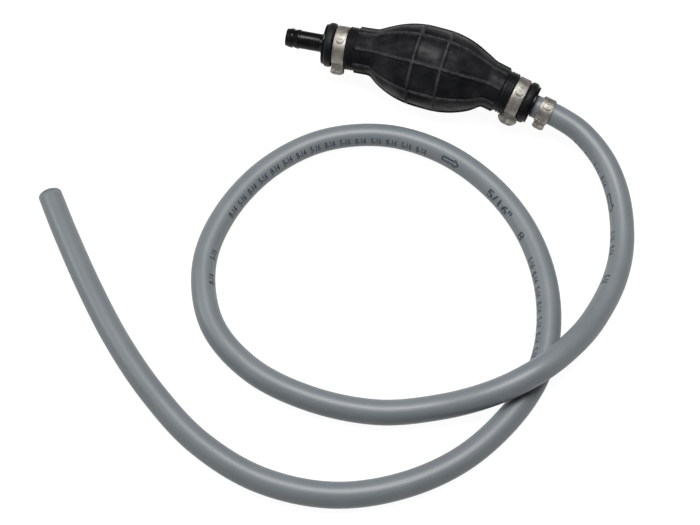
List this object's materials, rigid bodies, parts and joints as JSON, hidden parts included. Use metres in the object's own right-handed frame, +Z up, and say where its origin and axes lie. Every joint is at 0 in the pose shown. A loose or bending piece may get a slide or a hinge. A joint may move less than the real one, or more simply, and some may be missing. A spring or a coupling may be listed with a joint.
{
  "type": "hand bilge pump",
  "caption": "Ribbed rubber squeeze-bulb hand pump with one-way valves, a bare inlet hose barb and a long grey hose clamped to its outlet.",
  "frame": {"origin": "centre of the bulb unit's footprint, on the surface it lies on; the hose isn't counted", "axes": "+X along the bulb from the bare inlet barb towards the hose end, +Y across the bulb away from the hose's loop, +Z up"},
  "size_m": [0.354, 0.3209, 0.0525],
  "materials": {
    "bulb_rubber": "satin moulded rubber",
    "black_plastic": "moulded gloss",
    "white_plastic": "moulded matt",
    "seal_rubber": "matt",
    "stainless": "brushed stainless steel",
    "hose_pvc": "satin soft PVC"
  },
  "bodies": {
    "pump": {"bulb": "bulb_rubber", "inlet_fitting": "black_plastic", "inlet_spring_cage": "white_plastic", "inlet_spring": "stainless", "outlet_fitting": "black_plastic", "outlet_valve_seat": "white_plastic", "outlet_spring": "stainless", "inlet_bulb_clamp": "stainless", "outlet_bulb_clamp": "stainless", "hose_clamp": "stainless", "hose": "hose_pvc"},
    "inlet_valve": {"inlet_poppet": "white_plastic", "inlet_poppet_seal": "seal_rubber"},
    "outlet_valve": {"outlet_poppet": "white_plastic", "outlet_poppet_seal": "seal_rubber"}
  },
  "joints": [
    {"name": "inlet_valve_lift", "type": "slide", "parent": "pump", "child": "inlet_valve", "axis": [0.9936, 0.1132, 0], "range_m": [0, 0.003], "stiffness_N_per_m": 30, "deforming": ["inlet_spring"]},
    {"name": "outlet_valve_lift", "type": "slide", "parent": "pump", "child": "outlet_valve", "axis": [0.9839, -0.1121, -0.1392], "range_m": [0, 0.003], "stiffness_N_per_m": 30, "deforming": ["outlet_spring"]}
  ]
}
